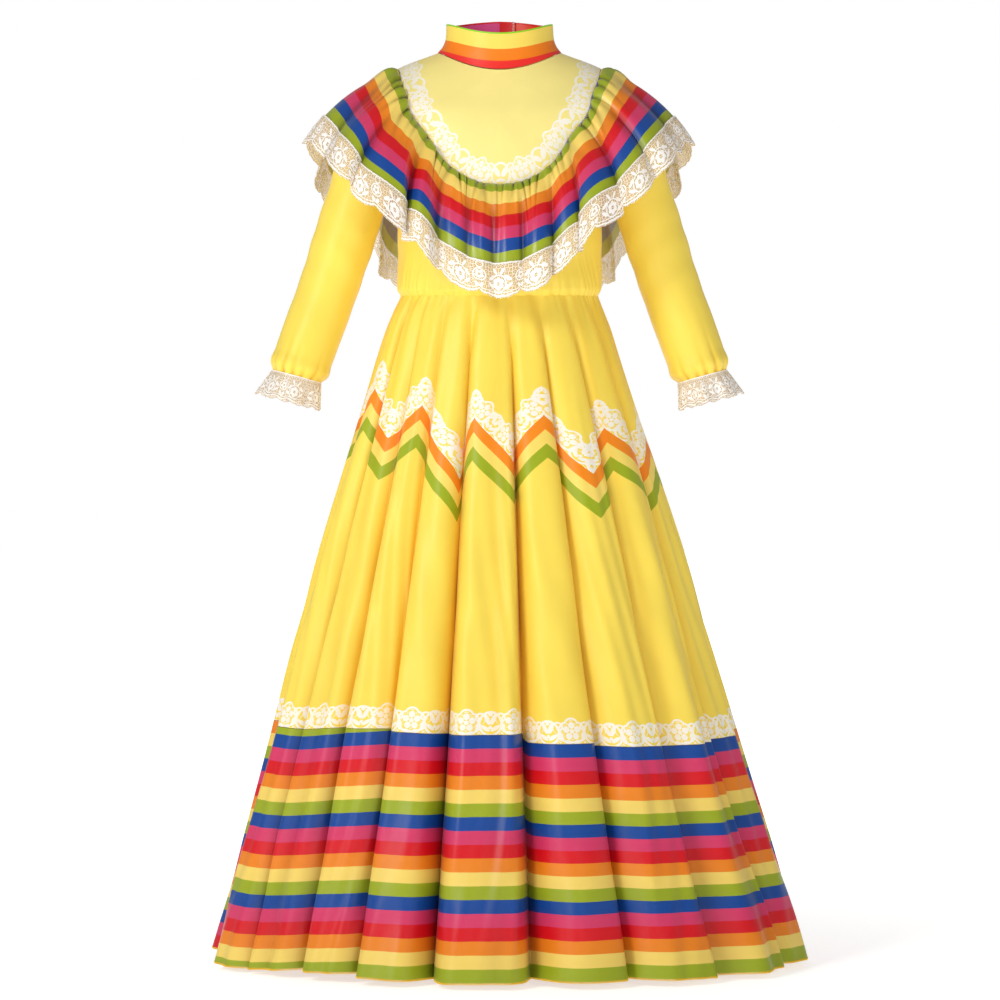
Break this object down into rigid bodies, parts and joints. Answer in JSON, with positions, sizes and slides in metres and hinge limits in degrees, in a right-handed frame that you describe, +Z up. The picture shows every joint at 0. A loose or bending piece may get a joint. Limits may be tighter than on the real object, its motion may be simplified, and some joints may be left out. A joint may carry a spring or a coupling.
{
  "type": "mexican folk dress",
  "caption": "Girl's folk dance dress with a stand collar, gathered striped shoulder ruffle with lace, long sleeves with lace frills and a flared skirt with a striped hem band.",
  "frame": {"origin": "The shoulder rest, where the wearer's shoulders or a hanger hold the dress: on the centre plane, midway between the two shoulder seams and level with them.", "axes": "+Z is up along the dress and is its longest extent. The front faces -Y, and the depth along Y is the shortest extent. +X is the wearer's left."},
  "size_m": [0.6374, 0.4822, 1.0173],
  "materials": {
    "collar_cloth": "smooth polyester with a soft sheen, printed in four bands",
    "yoke_cloth": "smooth yellow polyester with a soft sheen and a printed lace border",
    "bodice_cloth": "smooth yellow polyester with a soft sheen",
    "sleeve_cloth": "thin yellow polyester with a soft sheen",
    "skirt_cloth": "smooth yellow polyester with a soft sheen, printed zigzag and lace border",
    "striped_cloth": "satin-like polyester printed in rainbow stripes",
    "lace": "soft off-white machine lace on a fine net"
  },
  "bodies": {
    "root": {"collar": "collar_cloth", "yoke_front": "yoke_cloth", "yoke_back_left": "yoke_cloth", "yoke_back_right": "yoke_cloth", "bodice_front": "bodice_cloth", "bodice_back_left": "bodice_cloth", "bodice_back_right": "bodice_cloth", "sleeve_left": "sleeve_cloth", "sleeve_right": "sleeve_cloth", "cuff_lace_left": "lace", "cuff_lace_right": "lace", "ruffle": "striped_cloth", "ruffle_lace": "lace", "skirt_front": "skirt_cloth", "skirt_back": "skirt_cloth", "hem_band_front": "striped_cloth", "hem_band_back": "striped_cloth"}
  },
  "joints": []
}
